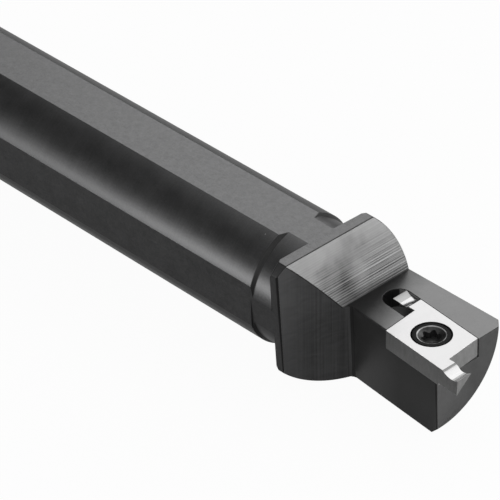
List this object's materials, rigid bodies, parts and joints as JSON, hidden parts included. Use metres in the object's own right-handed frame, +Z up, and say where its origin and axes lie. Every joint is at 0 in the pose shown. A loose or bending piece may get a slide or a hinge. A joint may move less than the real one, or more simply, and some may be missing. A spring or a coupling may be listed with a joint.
{
  "type": "grooving tool holder",
  "caption": "Left-hand grooving tool holder: a round steel shank with clamping flats and a stepped head that carries a two-edged carbide grooving insert held by a countersunk screw.",
  "frame": {"origin": "centre of the shank's tail face, on the axis of the round shank", "axes": "+X runs along the shank towards the head and the cutting edge, +Z is up, square to the top clamping flat and the insert's top, and the side clamping flat and the working tip are on the -Y side"},
  "size_m": [0.1, 0.0178, 0.0174],
  "materials": {
    "blackened_steel": "hardened steel with a thin dark oxide finish, fine milling lines on the head's two sloping walls",
    "ground_carbide": "bare cemented carbide, finely ground on top and on its sides, with bright ground hollows behind both cutting edges",
    "black_oxide_screw": "black oxide, slightly glossy"
  },
  "bodies": {
    "root": {"holder_body": "blackened_steel", "grooving_insert": "ground_carbide", "clamp_screw": "black_oxide_screw"}
  },
  "joints": []
}
